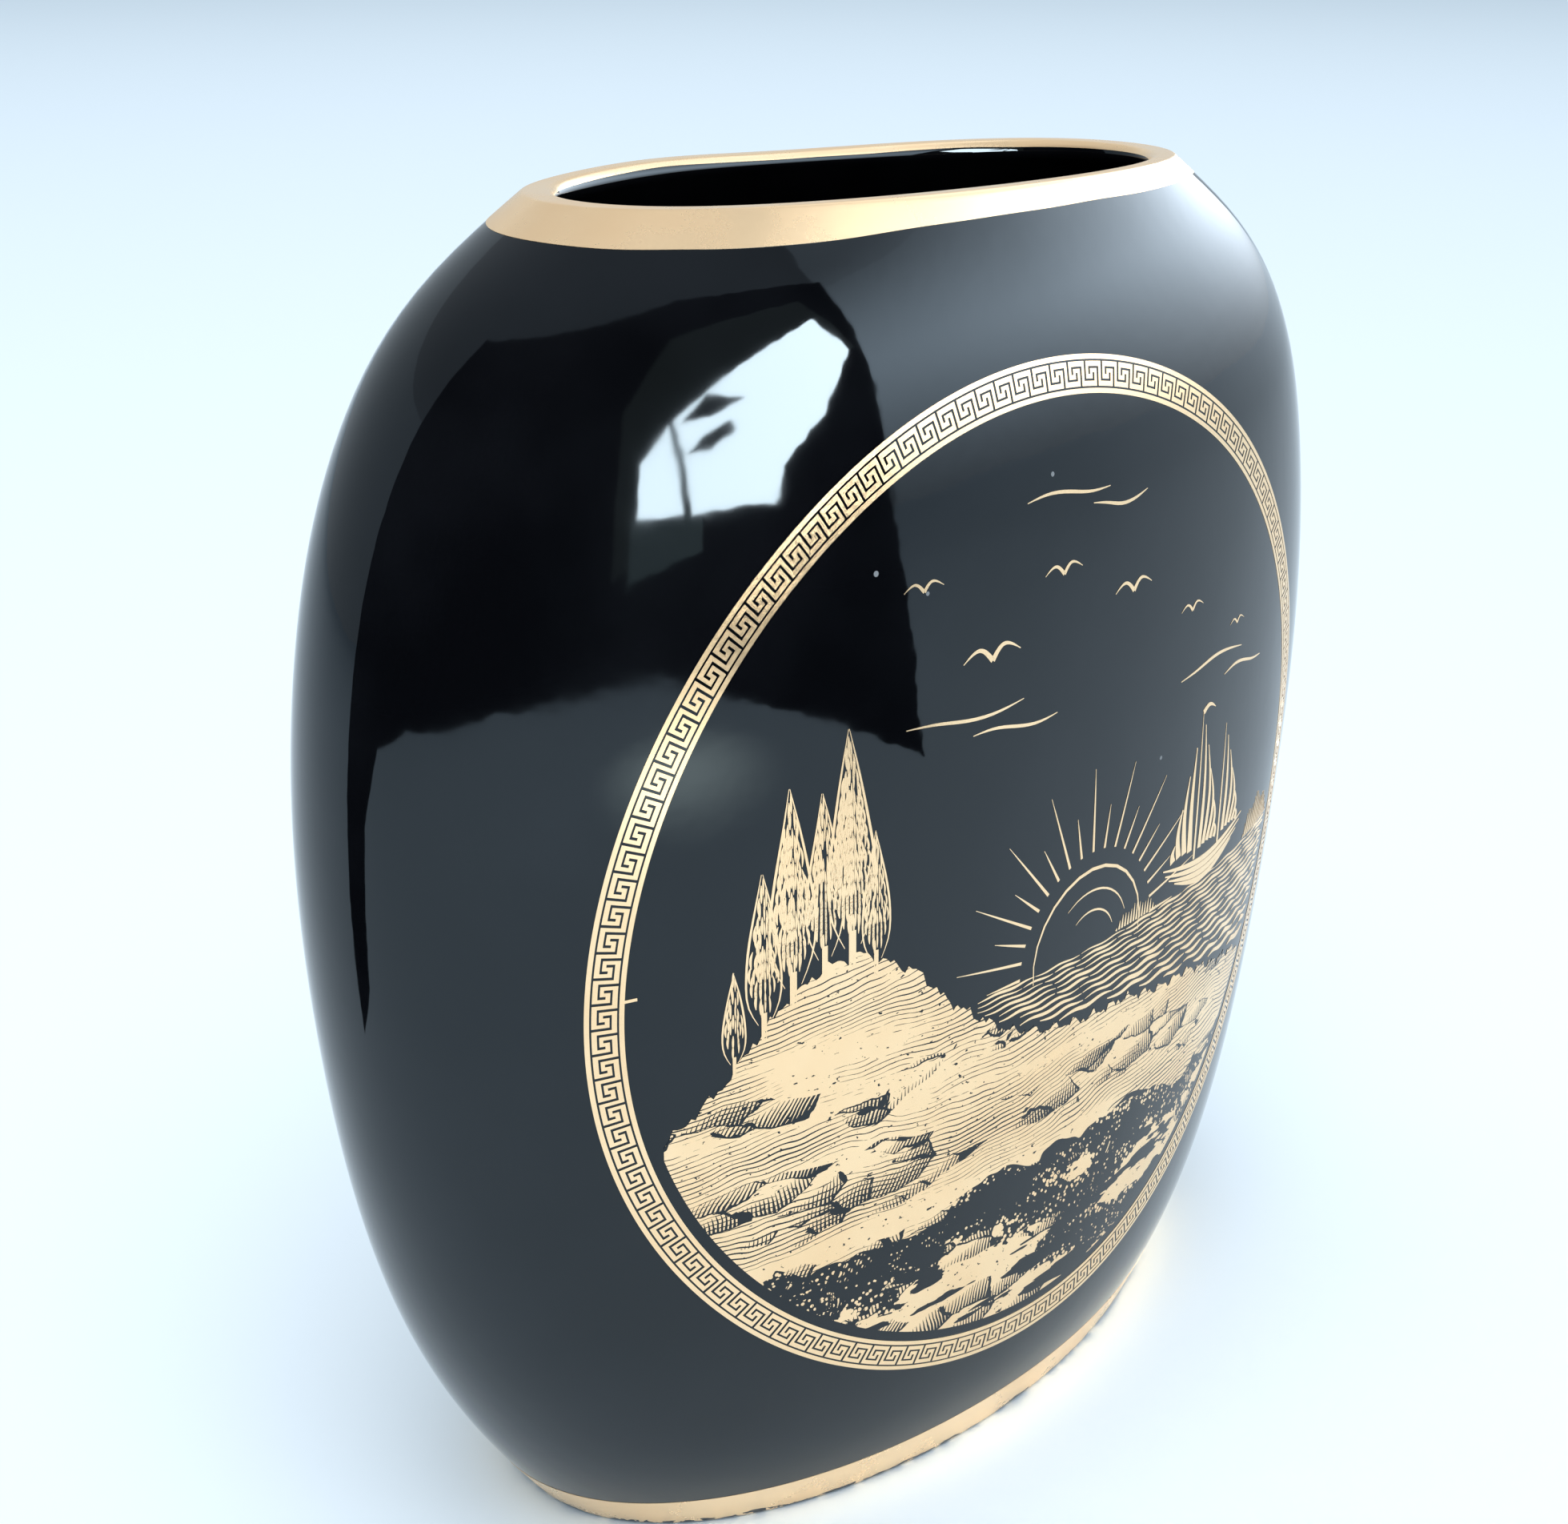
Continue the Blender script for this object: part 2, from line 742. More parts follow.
@dataclass(frozen=True)
class EngravedGold(GoldLustre):
    """Gold printed as an engraving: strata lines, hatched rocks and dark scrub in it."""

    strata_pitch: float = 0.85 * MM
    strata_slope: float = 0.04
    strata_drift: float = 13.0 * MM
    strata_drift_noise: tuple = (28.0, 3.0)
    strata_tremble: float = 0.7 * MM
    strata_tremble_noise: tuple = (170.0, 2.0)
    strata_tone_noise: tuple = (95.0, 4.0)
    strata_tone_stretch: tuple = (0.28, 1.0, 1.4)
    strata_grit_noise: tuple = (520.0, 2.0)
    strata_grit_share: float = 0.16
    strata_limit: float = 1.62
    strata_gain: float = 1.9
    rock_width: float = 9.5 * MM
    rock_height: float = 4.2 * MM
    rock_bend: tuple = (0.8, 0.8, 0.8)
    rock_bend_noise: tuple = (120.0, 4.0)
    rock_light: tuple = (1.1, 1.3)
    rock_tone_share: float = 0.45
    rock_rarity: float = 0.22
    lit_side: float = -0.28
    outline: float = 0.14
    outline_gap: float = 0.022
    outline_noise: tuple = (230.0, 2.0)
    hatch_pitch: float = 0.62 * MM
    hatch_tremble: float = 0.9 * MM
    hatch_tremble_noise: tuple = (260.0, 2.0)
    hatch_gain: float = 1.5
    ledge_pitch: float = 17 * MM
    ledge_drift: float = 16 * MM
    ledge_drift_noise: tuple = (20.0, 2.0)
    ledge_share: float = 0.15
    group_noise: tuple = (38.0, 2.0)
    group_limit: float = 0.48
    scrub_noise: tuple = (62.0, 4.0)
    scrub_stretch: tuple = (0.55, 1.0, 1.25)
    scrub_roughness: float = 0.62
    scrub_limit: float = 0.505
    scrub_dots: float = 1150.0
    scrub_dot_size: float = 0.50
    scrub_dot_gain: float = 2.6
    streak_noise: tuple = (330.0, 3.0)
    streak_stretch: tuple = (0.16, 1.0, 1.0)
    streak_patch_noise: tuple = (50.0, 2.0)
    streak_limit: float = 0.60
    speck_noise: tuple = (1500.0, 2.0)
    speck_stretch: tuple = (0.6, 1.0, 1.0)
    speck_limit: float = 0.69
    near_height: float = 54 * MM
    far_height: float = 82 * MM
    zone_slope: float = 0.02
    zone_waver: float = 22 * MM
    zone_noise: tuple = (40.0, 3.0)

    def strata(self, graph: Graph) -> Signal:
        """Broken lines that follow the slope.

        Args:
            graph: The material's graph.

        Returns:
            1 on a line.
        """
        tremble = graph.noise(*self.strata_tremble_noise) * self.strata_tremble
        drift = graph.noise(*self.strata_drift_noise) * self.strata_drift + tremble
        run = graph.axis("Z") - graph.axis("X") * self.strata_slope + drift
        grit = graph.noise(*self.strata_grit_noise) * self.strata_grit_share
        place = graph.stretched(*self.strata_tone_stretch)
        tone = graph.noise(*self.strata_tone_noise, place) - grit
        return run.waves(self.strata_pitch) > (self.strata_limit - tone * self.strata_gain)

    def rocks(self, graph: Graph) -> Signal:
        """Outlined blocks, hatched on the side away from the light.

        Args:
            graph: The material's graph.

        Returns:
            1 on a dark line.
        """
        blocks = graph.stretched(1 / self.rock_width, 0.0, 1 / self.rock_height)
        scale, detail = self.rock_bend_noise
        clouds = {"Vector": graph.place, "Scale": scale, "Detail": detail}
        bend = graph.node("ShaderNodeTexNoise", clouds).outputs["Color"]
        place = graph.vectors("ADD", blocks, graph.vectors("MULTIPLY", bend, self.rock_bend))
        edge = graph.cells(1.0, place, feature="DISTANCE_TO_EDGE").outputs["Distance"]
        cell = graph.cells(1.0, place)
        lean, tone, _ = graph.parts(cell.outputs["Color"])
        across, _, up = graph.parts(graph.vectors("SUBTRACT", place, cell.outputs["Position"]))
        shade = across * self.rock_light[0] - up * self.rock_light[1]
        turn = lean * 0.9 - 0.6
        run = graph.axis("X") * turn.math("COSINE") + graph.axis("Z") * turn.math("SINE")
        tremble = graph.noise(*self.hatch_tremble_noise) * self.hatch_tremble
        hatch = (run + tremble).waves(self.hatch_pitch)
        darkness = (shade + tone * self.rock_tone_share - 0.05).larger(0.0)
        hatched = hatch > (1.0 - darkness * self.hatch_gain)
        pen = graph.noise(*self.outline_noise) * self.outline - self.outline_gap
        outline = (Signal(graph, edge) < pen) * (shade > self.lit_side)
        drift = graph.noise(*self.ledge_drift_noise) * self.ledge_drift
        ledges = (graph.axis("Z") + drift).waves(self.ledge_pitch)
        grouped = (graph.noise(*self.group_noise) + ledges * self.ledge_share) > self.group_limit
        return hatched.larger(outline) * grouped * (tone > self.rock_rarity)

    def scrub(self, graph: Graph) -> Signal:
        """Dark growth with bright dots in it, and dark streaks.

        Args:
            graph: The material's graph.

        Returns:
            1 where it is dark.
        """
        place = graph.stretched(*self.scrub_stretch)
        clump = graph.noise(*self.scrub_noise, place, self.scrub_roughness)
        dots = graph.cells(self.scrub_dots, graph.stretched(1.0, 0.0, 1.0)).outputs["Distance"]
        dot_size = self.scrub_dot_size - (clump - 0.5) * self.scrub_dot_gain
        growth = (clump > self.scrub_limit) * (1 - (Signal(graph, dots) < dot_size))
        thin = graph.noise(*self.streak_noise, graph.stretched(*self.streak_stretch))
        streak = thin + (graph.noise(*self.streak_patch_noise) - 0.5) * 0.5
        return growth.larger(streak > self.streak_limit)

    def bare(self, graph: Graph) -> Signal:
        """Where the print leaves the glaze dark or the gold has worn off.

        Args:
            graph: The material's graph.

        Returns:
            1 on a dark line, 0 on gold.
        """
        waver = (graph.noise(*self.zone_noise) - 0.5) * self.zone_waver
        zone = graph.axis("Z") + graph.axis("X") * self.zone_slope + waver
        rocks = self.rocks(graph) * (zone < self.far_height)
        strata = self.strata(graph) * (zone > self.near_height)
        scrub = self.scrub(graph) * (zone < self.near_height)
        place = graph.stretched(*self.speck_stretch)
        specks = graph.noise(*self.speck_noise, place) > self.speck_limit
        return super().bare(graph).larger(rocks.larger(strata).larger(scrub).larger(specks))


def dressed(piece: Piece, material: Material, slot: str, *nodes: str) -> Piece:
    """Gives a piece its finish and its place in the frame.

    Args:
        piece: The finished mesh object.
        material: Its material.
        slot: The record's material slot.
        nodes: The CAD nodes that it stands for.

    Returns:
        The same piece.
    """
    piece.data.materials.clear()
    piece.data.materials.append(material)
    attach(piece, ROOT)
    if nodes:
        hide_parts(*nodes)
    LOG.info("%s: %d faces", piece.name, len(piece.data.polygons))
    return piece


@dataclass
class VaseBody:
    """The fired clay body: foot ring, outer wall, rounded lip and cavity."""

    oval: Oval
    around: int = 256
    ring_width: float = 7 * MM
    recess: float = 2 * MM
    recess_round: float = 1 * MM
    foot_round: float = 1.2 * MM
    edge_round: float = 0.4 * MM
    floor: float = 7 * MM
    floor_round: float = 6 * MM
    lip_outer_round: float = 1.2 * MM
    lip_inner_round: float = 1.6 * MM
    probe: float = 0.4 * MM
    outer_rings: int = 90
    inner_rings: int = 50

    def turns(self) -> Array:
        """The angles of the points round every ring."""
        return np.arange(self.around) * 2 * math.pi / self.around

    def wall(self, start: Array, end: Array, shares: Array, inside: bool = False) -> list[Array]:
        """Rings on the wall at shares of the way from one ring's heights to another's."""
        heights = [start + (end - start) * share for share in shares]
        return [self.oval.at(self.turns(), height, inside) for height in heights]

    @staticmethod
    def rounded_corner(corner: Array, first: Array, second: Array, radius: float, steps: int) -> Array:
        """An arc that rounds a corner between two directions, at every turn.

        Args:
            corner: The corner points.
            first: Directions from the corner back along the profile.
            second: Directions from the corner on along the profile.
            radius: The arc's radius.
            steps: How many points the arc has.

        Returns:
            Arrays of points, one array for each step.
        """
        first, second = unit(first), unit(second)
        spread = np.arccos(np.clip((first * second).sum(-1, keepdims=True), -1, 1))
        centre = corner + unit(first + second) * radius / np.sin(spread / 2)
        start = corner + first * radius / np.tan(spread / 2) - centre
        end = corner + second * radius / np.tan(spread / 2) - centre
        sweep = math.pi - spread
        arc = []
        for share in np.linspace(0, 1, steps):
            swept = start * np.sin((1 - share) * sweep) + end * np.sin(share * sweep)
            arc.append(centre + swept / np.sin(sweep))
        return np.array(arc)

    def lip_profile(self) -> Array:
        """The rings over the lip, from the outer wall's end to the inner wall's start.

        Returns:
            Arrays of points, one array for each ring.
        """
        turns, top, dip = self.turns(), self.oval.height, self.probe
        outer, inner = self.oval.at(turns, top), self.oval.at(turns, top, True)
        outer_down = self.oval.at(turns, top - dip) - outer
        inner_down = self.oval.at(turns, top - dip, True) - inner
        outside = self.rounded_corner(outer, outer_down, inner - outer, self.lip_outer_round, 8)
        inside = self.rounded_corner(inner, outer - inner, inner_down, self.lip_inner_round, 12)
        flat = [outside[-1] + (inside[0] - outside[-1]) * share for share in (1 / 3, 2 / 3)]
        return np.concatenate([outside, flat, inside])

    def foot_profile(self) -> Array:
        """The rings under the foot, from the recess's middle to the outer wall.

        Returns:
            Arrays of points, one array for each ring.
        """
        turns = self.turns()
        wide = self.oval.foot[0] - self.ring_width
        deep = self.oval.foot[1] - self.ring_width

        def ellipse(change: float, height: float, share: float = 1.0) -> Array:
            """An ellipse of the recess.

            Args:
                change: How much wider than the recess it is on each side.
                height: Its height.
                share: A factor on its size.

            Returns:
                Its points.
            """
            x = (wide + change) * share * np.cos(turns)
            y = (deep + change) * share * np.sin(turns)
            return np.stack([x, y, np.full_like(x, height)], axis=-1)

        rings = [ellipse(-self.recess_round, self.recess, share) for share in (0.08, 0.3, 0.6, 0.85)]
        for angle in np.linspace(0, math.pi / 2, 6):
            change = self.recess_round * (math.sin(angle) - 1)
            rings.append(ellipse(change, self.recess - self.recess_round * (1 - math.cos(angle))))
        for angle in np.linspace(0, math.pi / 2, 4):
            change = self.edge_round * (1 - math.cos(angle))
            rings.append(ellipse(change, self.edge_round * (1 - math.sin(angle))))
        corner = self.oval.at(turns, 0.0)
        wall_up = self.oval.at(turns, self.probe) - corner
        inwards = rings[-1] - corner
        outside = self.rounded_corner(corner, inwards, wall_up, self.foot_round, 8)
        rings.append((rings[-1] + outside[0]) / 2)
        return np.concatenate([np.array(rings), outside])

    def cavity_profile(self, start: Array) -> Array:
        """The rings of the cavity, from the lip down to the floor's middle.

        Args:
            start: The lip's last ring.

        Returns:
            Arrays of points, one array for each ring.
        """
        turns = self.turns()
        corner = self.oval.at(turns, self.floor, True)
        wall_up = self.oval.at(turns, self.floor + self.probe, True) - corner
        middle = np.array([0, 0, self.floor]) - corner
        bend = self.rounded_corner(corner, wall_up, middle, self.floor_round, 10)
        shares = np.linspace(0, 1, self.inner_rings + 2)[1:-1]
        rings = self.wall(start[:, 2], bend[0][:, 2], shares, True) + list(bend)
        centre = np.array([0, 0, self.floor])
        rings += [centre + (bend[-1] - centre) * share for share in (0.8, 0.5, 0.22, 0.05)]
        return np.array(rings)

    def build(self, finish: BlackGlaze) -> Piece:
        """Models and dresses the body.

        Args:
            finish: Its glaze.

        Returns:
            The finished piece.
        """
        foot, lip = self.foot_profile(), self.lip_profile()
        shares = np.linspace(0, 1, self.outer_rings + 2)[1:-1]
        walls = self.wall(foot[-1][:, 2], lip[0][:, 2], shares)
        rings = np.concatenate([foot, walls, lip, self.cavity_profile(lip[-1])])
        piece = Bench.tube("glazed_body", self.oval.swayed(rings), True)
        Bench.edit(piece, "FACE")
        bpy.ops.mesh.normals_make_consistent(inside=False)
        Bench.smooth(piece, 60)
        return dressed(piece, finish.material(), "black_glaze", "vase_body")


@dataclass
class EdgeGilding:
    """The gold over the lip and round the foot, with brushed edges."""

    body: VaseBody
    rim_band: float = 3.1 * MM
    inner_band: float = 0.9 * MM
    rim_sag: float = 1.1 * MM
    rim_sag_turn: float = -2.55
    foot_band: float = 7.83 * MM
    tremor: float = 0.22 * MM
    inner_tremor_share: float = 0.6
    foot_tremor_share: float = 0.7
    tremor_waves: tuple[tuple[int, float], ...] = ((2, 0.55), (5, 0.40), (9, 0.26), (17, 0.10))
    heart_depth: float = 3 * MM
    underside: float = -20 * MM
    rim_rings: int = 30
    inside_rings: int = 8
    bend_rings: int = 6
    smooth_angle: float = 40.0
    seed: int = 11

    def brushed(self, draw: random.Random) -> Array:
        """How far a hand-painted edge strays, at every turn.

        Args:
            draw: The source of the edge's phases.

        Returns:
            One distance for each turn.
        """
        turns = self.body.turns()
        stray = np.zeros_like(turns)
        for waves, share in self.tremor_waves:
            stray += share * np.sin(waves * turns + draw.uniform(0, 2 * math.pi))
        return stray * self.tremor

    @staticmethod
    def lifted(rows: Array, away: Array) -> Array:
        """Rings moved a film's lift off the glaze.

        Args:
            rows: Points of each ring.
            away: Directions that mostly point outwards.

        Returns:
            The moved rings.
        """
        around = np.roll(rows, -1, axis=1) - np.roll(rows, 1, axis=1)
        out = unit(np.cross(around, np.gradient(rows, axis=0)))
        return rows + out * math.copysign(FILM_LIFT, (away * out).sum())

    def build_rim(self, finish: GoldLustre) -> Piece:
        """Models and dresses the gold over the lip.

        Args:
            finish: The gold.

        Returns:
            The finished piece.
        """
        oval, turns = self.body.oval, self.body.turns()
        lip = self.body.lip_profile()
        draw = random.Random(self.seed)
        sag = self.rim_sag * np.clip(np.cos(turns - self.rim_sag_turn), 0, 1) ** 3
        low = oval.height - self.rim_band - sag + self.brushed(draw)
        end = oval.height - self.inner_band + self.brushed(draw) * self.inner_tremor_share
        path = np.concatenate([self.body.wall(low, lip[0][:, 2], np.linspace(0, 1, 6)[:-1]), lip])
        first = len(path) - self.inside_rings
        columns, numbers = np.arange(len(turns)), np.arange(self.inside_rings)
        last = first + np.array([np.interp(-end[k], -path[first:, k, 2], numbers) for k in columns])
        rows = []
        for share in np.linspace(0, 1, self.rim_rings):
            place = last * share
            under = np.minimum(place.astype(int), len(path) - 2)
            way = (place - under)[:, None]
            rows.append(path[under, columns] * (1 - way) + path[under + 1, columns] * way)
        rows = np.array(rows)
        heart_height = oval.height - self.heart_depth

        def from_heart(point: Vector) -> Vector:
            """The way out of the wall's heart under the lip.

            Args:
                point: A point on the lip.

            Returns:
                The way from the heart to the point.
            """
            turn = math.atan2(point[1] / oval.mouth[1], point[0] / oval.mouth[0])
            heart = (oval.at(turn, heart_height) + oval.at(turn, heart_height, True)) / 2
            return Vector(point) - Vector(heart)

        away = rows - oval.at(turns, heart_height)
        piece = Bench.tube("lip_gold", oval.swayed(self.lifted(rows, away)), False)
        Bench.film(piece, from_heart, self.smooth_angle)
        return dressed(piece, finish.material(), "gold_lustre", "rim_gilding")

    def build_foot(self, finish: GoldLustre) -> Piece:
        """Models and dresses the gold band round the foot.

        Args:
            finish: The gold.

        Returns:
            The finished piece.
        """
        bend = self.body.foot_profile()[-self.bend_rings:]
        stray = self.brushed(random.Random(self.seed + 1)) * self.foot_tremor_share
        wall = self.body.wall(bend[-1][:, 2], self.foot_band + stray, np.linspace(0, 1, 8)[1:])
        rows = np.concatenate([bend, wall])
        piece = Bench.tube("foot_gold", self.lifted(rows, rows * (1, 1, 0)), False)
        Bench.film(piece, lambda point: Vector((point[0], point[1], self.underside)), self.smooth_angle)
        return dressed(piece, finish.material(), "gold_lustre", "foot_gilding")


@dataclass
class KeyBorder:
    """The medallion's border: a Greek key between two thin lines."""

    face: Face
    units: int = 128
    outer_line: tuple[float, float] = (78.60 * MM, 77.92 * MM)
    key: tuple[float, float] = (77.64 * MM, 74.28 * MM)
    inner_line: tuple[float, float] = (74.00 * MM, 73.32 * MM)
    radial_stroke: float = 0.40 * MM
    level_stroke: float = 0.30 * MM
    outer_hook_end: float = 1.8
    inner_hook_end: float = 2.1
    around: int = 768
    smooth_angle: float = 35.0

    def ring(self, name: str, radii: tuple[float, float]) -> Piece:
        """One thin gold line round the medallion.

        Args:
            name: The piece's name.
            radii: Its outer and inner radius.

        Returns:
            The new object.
        """
        turns = np.arange(self.around) * 2 * math.pi / self.around
        middle = (radii[0] + radii[1]) / 2
        rings = [self.face.lay(polar(radius, turns)) for radius in (radii[0], middle, radii[1])]
        return Bench.film(Bench.tube(name, rings, False), to_front, self.smooth_angle)

    def is_dark(self, level: float, way: float) -> bool:
        """Whether a place in one unit of the key is left dark.

        Args:
            level: 0 at the outer side of the key to 4 at the inner side.
            way: 0 to 4 along the unit, anticlockwise.

        Returns:
            True where one of the two hooks runs.
        """
        half_way, half_level = self.stroke_halves()
        near = self.is_near
        outer_hook = (
            near(way, 3, half_way) and level < 3 + half_level
            or near(level, 3, half_level) and 1 - half_way < way < 3 + half_way
            or near(way, 1, half_way) and self.outer_hook_end < level < 3 + half_level
        )
        inner_hook = (
            (near(way, 0, half_way) or near(way, 4, half_way)) and level > 1 - half_level
            or near(level, 1, half_level) and (way < 2 + half_way or way > 4 - half_way)
            or near(way, 2, half_way) and 1 - half_level < level < self.inner_hook_end
        )
        return outer_hook or inner_hook

    @staticmethod
    def is_near(value: float, line: float, half: float) -> bool:
        """Whether a value lies within half a stroke of a line."""
        return abs(value - line) < half

    def stroke_halves(self) -> tuple[float, float]:
        """Half the width of radial and level strokes, in quarter units.

        Returns:
            The half widths along the border and across it.
        """
        along = math.pi * (self.key[0] + self.key[1]) / self.units / 4
        across = (self.key[0] - self.key[1]) / 4
        return self.radial_stroke / 2 / along, self.level_stroke / 2 / across

    def one_unit(self) -> Piece:
        """A flat unit of the key, four long and four deep, without its hooks.

        Returns:
            The new object.
        """
        half_way, half_level = self.stroke_halves()
        Bench.clear()
        bpy.ops.mesh.primitive_plane_add(size=4.0, location=(2.0, 2.0, 0.0))
        piece = Bench.started("key_unit")
        bpy.ops.object.transform_apply(location=True)
        Bench.edit(piece, "FACE")
        ways = [line + side for line in range(5) for side in (-half_way, half_way)]
        levels = [1 - half_level, 1 + half_level, self.outer_hook_end, self.inner_hook_end]
        levels += [3 - half_level, 3 + half_level]
        for place in ways:
            if 0 < place < 4:
                bpy.ops.mesh.select_all(action="SELECT")
                bpy.ops.mesh.bisect(plane_co=(place, 0, 0), plane_no=(1, 0, 0))
        for place in levels:
            bpy.ops.mesh.select_all(action="SELECT")
            bpy.ops.mesh.bisect(plane_co=(0, place, 0), plane_no=(0, 1, 0))
        bpy.ops.mesh.select_all(action="DESELECT")
        bpy.ops.object.mode_set(mode="OBJECT")
        for cell in piece.data.polygons:
            cell.select = self.is_dark(cell.center.y, cell.center.x)
        bpy.ops.object.mode_set(mode="EDIT")
        bpy.ops.mesh.delete(type="FACE")
        bpy.ops.object.mode_set(mode="OBJECT")
        return piece

    def key_band(self) -> Piece:
        """The whole key: one unit repeated and bent round the medallion.

        Returns:
            The new object.
        """
        piece = self.one_unit()
        piece.name = "key_border"
        piece.data.name = "key_border"
        Bench.pick(piece)
        row = piece.modifiers.new("row", "ARRAY")
        row.count = self.units
        row.use_relative_offset = False
        row.use_constant_offset = True
        row.constant_offset_displace = (4.0, 0.0, 0.0)
        row.use_merge_vertices = True
        row.merge_threshold = 0.001
        bpy.ops.object.modifier_apply(modifier=row.name)
        rows = Bench.points(piece)
        turn = rows[:, 0] / (4 * self.units) * 2 * math.pi
        radius = self.key[0] - rows[:, 1] / 4 * (self.key[0] - self.key[1])
        Bench.move_points(piece, self.face.lay(polar(radius, turn)))
        Bench.edit(piece)
        bpy.ops.mesh.remove_doubles(threshold=0.01 * MM)
        bpy.ops.object.mode_set(mode="OBJECT")
        return Bench.film(piece, to_front, self.smooth_angle)

    def build(self, finish: GoldLustre) -> list[Piece]:
        """Models and dresses the border.

        Args:
            finish: The gold.

        Returns:
            Its three pieces.
        """
        material = finish.material()
        pieces = {
            "medallion_outer_line": self.ring("outer_ring", self.outer_line),
            "medallion_key_band": self.key_band(),
            "medallion_inner_line": self.ring("inner_ring", self.inner_line),
        }
        return [dressed(piece, material, "gold_lustre", node) for node, piece in pieces.items()]


class Taper(Enum):
    """How a drawn stroke thins out."""

    NONE = "even"
    BOTH = "thin at both ends"
    END = "thin at its end"


@dataclass(frozen=True)
class Stroke:
    """One stroke of the drawing: corners of its path and its fullest width."""

    path: Sequence[Sequence[float]]
    width: float
    taper: Taper = Taper.BOTH

    def sides(self, cells: int) -> Array:
        """The stroke's two sides, in millimetres on the flat drawing.

        Args:
            cells: How many cells it is long.

        Returns:
            Points along it, with the two sides as the second axis.
        """
        corners = np.array(self.path, dtype=float)
        reach = np.concatenate([[0], np.cumsum(np.linalg.norm(np.diff(corners, axis=0), axis=1))])
        share = reach / reach[-1]
        places = np.linspace(0, 1, cells + 1)
        if len(corners) > 2:
            line = np.stack([SmoothCurve(share, corners[:, axis])(places) for axis in (0, 1)], axis=-1)
        else:
            line = corners[0] + (corners[1] - corners[0]) * places[:, None]
        along = np.gradient(line, axis=0)
        along /= np.maximum(np.linalg.norm(along, axis=-1, keepdims=True), 1e-9)
        square = np.stack([-along[:, 1], along[:, 0]], axis=-1)
        full = {
            Taper.NONE: np.ones_like(places),
            Taper.BOTH: np.sin(math.pi * np.clip(places, 0.03, 0.97)) ** 0.6,
            Taper.END: np.clip(1 - places, 0.06, 1) ** 0.6,
        }[self.taper]
        half = (full * self.width / 2)[:, None]
        return np.stack([line - square * half, line + square * half], axis=1)


